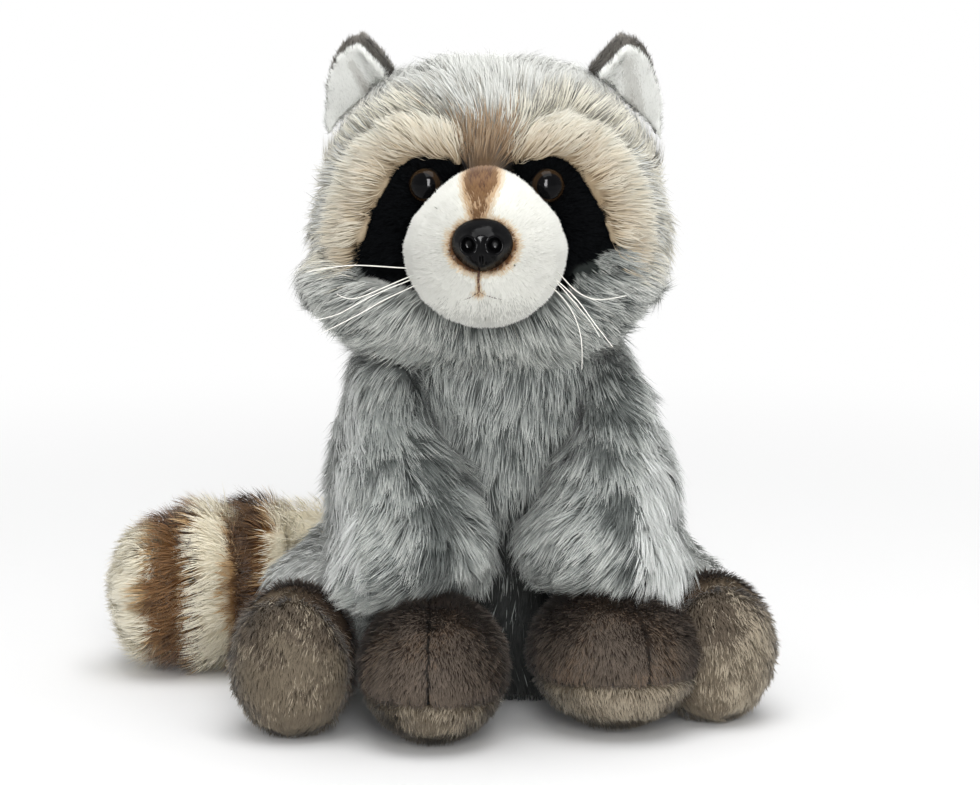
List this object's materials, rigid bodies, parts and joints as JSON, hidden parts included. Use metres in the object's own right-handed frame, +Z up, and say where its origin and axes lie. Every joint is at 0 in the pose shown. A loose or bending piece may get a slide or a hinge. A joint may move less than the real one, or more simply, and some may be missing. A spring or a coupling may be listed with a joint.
{
  "type": "plush raccoon",
  "caption": "Seated plush raccoon with long grey pile, a black eye mask, a white muzzle, cream brows, brown paws and a ringed tail round its side.",
  "frame": {"origin": "on the flat underside of the body, where it sits, in the body's middle plane", "axes": "+Z up, the face looks along -Y, and the raccoon's own left side is at +X"},
  "size_m": [0.2625, 0.1909, 0.2518],
  "materials": {
    "grey_coat": "long plush pile, grey roots and pale tips",
    "pale_coat": "long plush pile, grey roots and white tips",
    "cream_pile": "long cream plush pile",
    "white_short_pile": "short white plush pile",
    "black_short_pile": "short black plush pile",
    "brown_grey_pile": "short brown-grey plush pile",
    "dark_paw_pile": "short dark brown plush pile",
    "taupe_sole_pile": "short taupe plush pile",
    "tail_brown_pile": "long brown plush pile",
    "nose_plastic": "polished black moulding",
    "eye_plastic": "polished dark brown moulding",
    "washer_plastic": "as moulded",
    "whisker_nylon": "white nylon bristle"
  },
  "bodies": {
    "root": {"torso": "grey_coat", "arm_right": "grey_coat", "arm_left": "grey_coat", "head": "pale_coat", "leg_right": "pale_coat", "leg_left": "pale_coat", "tail_root": "cream_pile", "muzzle": "white_short_pile", "ear_lining_right": "white_short_pile", "ear_lining_left": "white_short_pile", "mask_right": "black_short_pile", "mask_left": "black_short_pile", "brow_right": "cream_pile", "brow_left": "cream_pile", "tail_band": "cream_pile", "tail_tip": "cream_pile", "tail_ring_inner": "tail_brown_pile", "tail_ring_outer": "tail_brown_pile", "ear_back_right": "brown_grey_pile", "ear_back_left": "brown_grey_pile", "paw_right": "dark_paw_pile", "paw_left": "dark_paw_pile", "foot_right": "dark_paw_pile", "foot_left": "dark_paw_pile", "paw_sole_right": "taupe_sole_pile", "paw_sole_left": "taupe_sole_pile", "foot_sole_right": "taupe_sole_pile", "foot_sole_left": "taupe_sole_pile", "nose": "nose_plastic", "eye_right": "eye_plastic", "eye_left": "eye_plastic", "nose_washer": "washer_plastic", "eye_washer_right": "washer_plastic", "eye_washer_left": "washer_plastic", "whisker_right_1": "whisker_nylon", "whisker_right_2": "whisker_nylon", "whisker_right_3": "whisker_nylon", "whisker_right_4": "whisker_nylon", "whisker_left_1": "whisker_nylon", "whisker_left_2": "whisker_nylon", "whisker_left_3": "whisker_nylon", "whisker_left_4": "whisker_nylon"}
  },
  "joints": []
}
